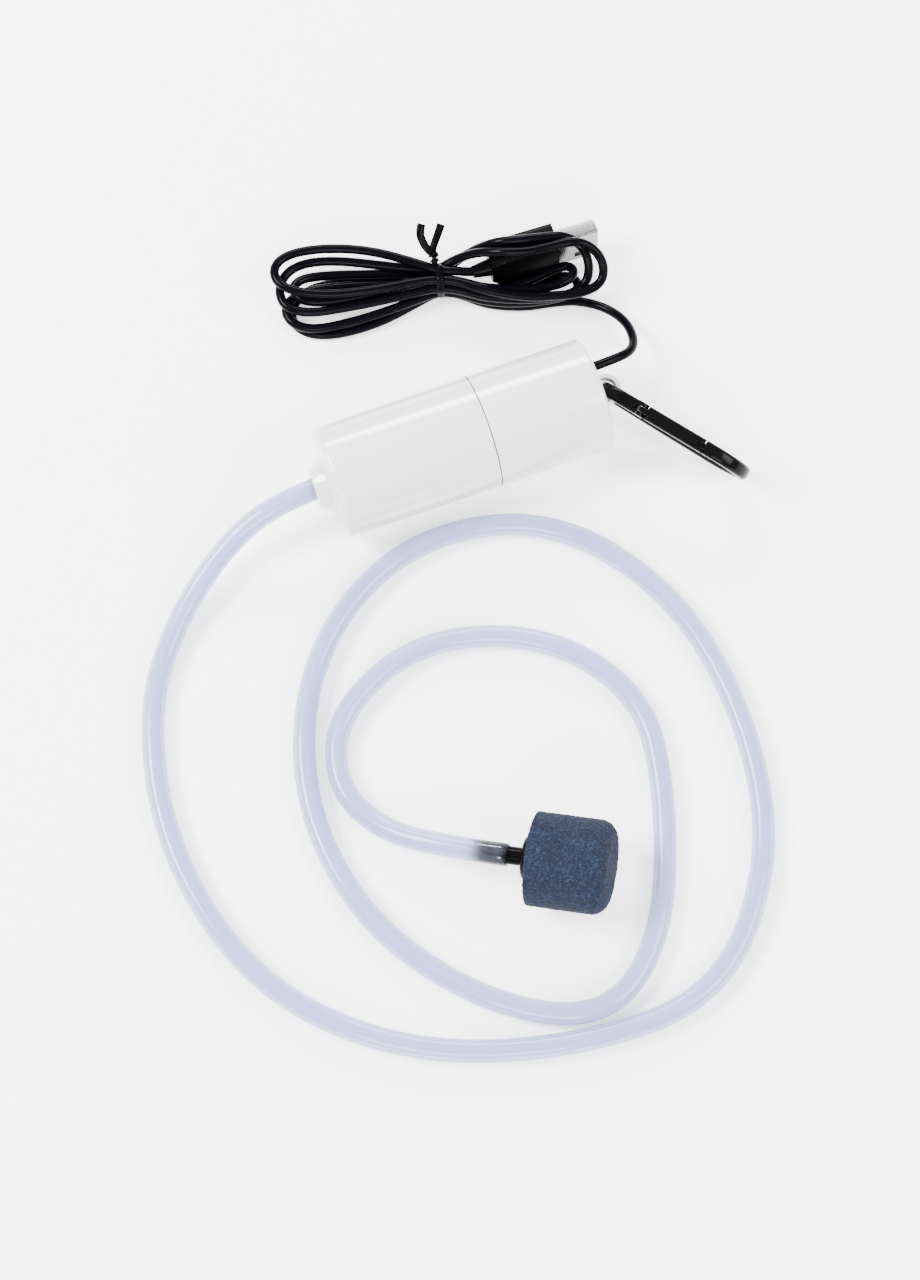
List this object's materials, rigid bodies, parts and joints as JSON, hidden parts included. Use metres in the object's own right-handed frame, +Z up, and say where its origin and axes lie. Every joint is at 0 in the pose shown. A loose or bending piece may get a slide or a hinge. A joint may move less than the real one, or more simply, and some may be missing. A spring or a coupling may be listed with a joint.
{
  "type": "aquarium air pump",
  "caption": "Pocket aquarium air pump: round white two-piece housing with a diaphragm pump inside, soft air hose to a porous stone, cord with a plug, and a snap hook on an eyelet.",
  "frame": {"origin": "middle of the line on which the round housing rests on the surface, halfway between its flat ends", "axes": "+X along the pump, from the hose end to the cord and eyelet end; +Z up from the surface; the hose and air stone lie on the -Y side, the cord and plug on the +Y side"},
  "size_m": [0.1821, 0.2334, 0.031],
  "materials": {
    "housing_white": "smooth moulded, glossy",
    "black_rubber": "soft, dull",
    "felt": "pressed felt",
    "foam": "open-cell foam",
    "head_plastic": "moulded, dull",
    "valve_rubber": "soft silicone",
    "screw_steel": "plated steel",
    "black_plastic": "moulded, satin",
    "hub_plastic": "natural nylon",
    "can_steel": "drawn steel",
    "magnet": "sintered ferrite",
    "bush_bronze": "sintered bronze",
    "copper": "copper",
    "terminal_brass": "bright",
    "ceramic": "glazed ceramic",
    "red_pvc": "flexible",
    "black_pvc": "flexible, slightly glossy",
    "hose_clear": "flexible clear hose, milky",
    "stone_blue": "porous and gritty",
    "black_anodised": "black anodised, glossy",
    "plug_steel": "nickel plated",
    "contact_gold": "gold plated"
  },
  "bodies": {
    "pump": {"air_hose": "hose_clear", "air_stone": "stone_blue", "brushes": "copper", "cable_grommet": "black_rubber", "cable_tie": "black_rubber", "diaphragm": "black_rubber", "diaphragm_seat": "head_plastic", "end_bell": "hub_plastic", "foam_sleeve": "foam", "front_bearing": "bush_bronze", "front_pad": "foam", "front_shell": "housing_white", "head_cover": "head_plastic", "head_screws": "screw_steel", "inlet_valves": "valve_rubber", "inner_cable_tie": "hub_plastic", "intake_felt": "felt", "lead_wire_black": "black_pvc", "lead_wire_red": "red_pvc", "magnet_clips": "screw_steel", "magnets": "magnet", "motor_can": "can_steel", "motor_screws": "screw_steel", "motor_terminals": "terminal_brass", "outlet_valve": "valve_rubber", "plug_contacts": "contact_gold", "plug_insulator": "hub_plastic", "plug_overmould": "black_plastic", "plug_shell": "plug_steel", "pump_frame": "head_plastic", "rear_bearing": "bush_bronze", "rear_shell": "housing_white", "stone_nipple": "black_plastic", "suppression_capacitor": "ceramic", "usb_cable": "black_pvc", "usb_cable_hank": "black_pvc", "valve_plate": "head_plastic"},
    "rotor": {"eccentric_hub": "hub_plastic", "tilt_pin": "screw_steel", "motor_shaft": "screw_steel", "armature_core": "can_steel", "windings": "copper", "commutator": "copper", "shaft_washers": "hub_plastic"},
    "wobble": {"wobble_plate": "black_plastic"},
    "hook": {"carabiner_body": "black_anodised", "gate_rivet": "screw_steel"},
    "gate": {"carabiner_gate": "black_anodised"}
  },
  "joints": [
    {"name": "rotor_spin", "type": "hinge", "parent": "pump", "child": "rotor", "pos_m": [0.01, 0, 0.0155], "axis": [1, 0, 0], "continuous": true},
    {"name": "wobble_spin", "type": "hinge", "parent": "rotor", "child": "wobble", "pos_m": [-0.0165, 0, 0.0155], "axis": [0.9903, 0, 0.1392], "continuous": true, "deforming": ["diaphragm"]},
    {"name": "hook_swing", "type": "hinge", "parent": "pump", "child": "hook", "pos_m": [0.041, 0, 0.0155], "axis": [0, 0, 1], "range_deg": [-27, 38]},
    {"name": "gate_hinge", "type": "hinge", "parent": "hook", "child": "gate", "pos_m": [0.04694, -0.01037, 0.02009], "axis": [0.7612, 0.5718, 0.306], "range_deg": [0, 26], "stiffness_Nm_per_rad": 0.02, "springref_deg": -11.46}
  ],
  "couplings": [
    {"joint": "wobble_spin", "follows": "rotor_spin", "ratio": -1}
  ]
}
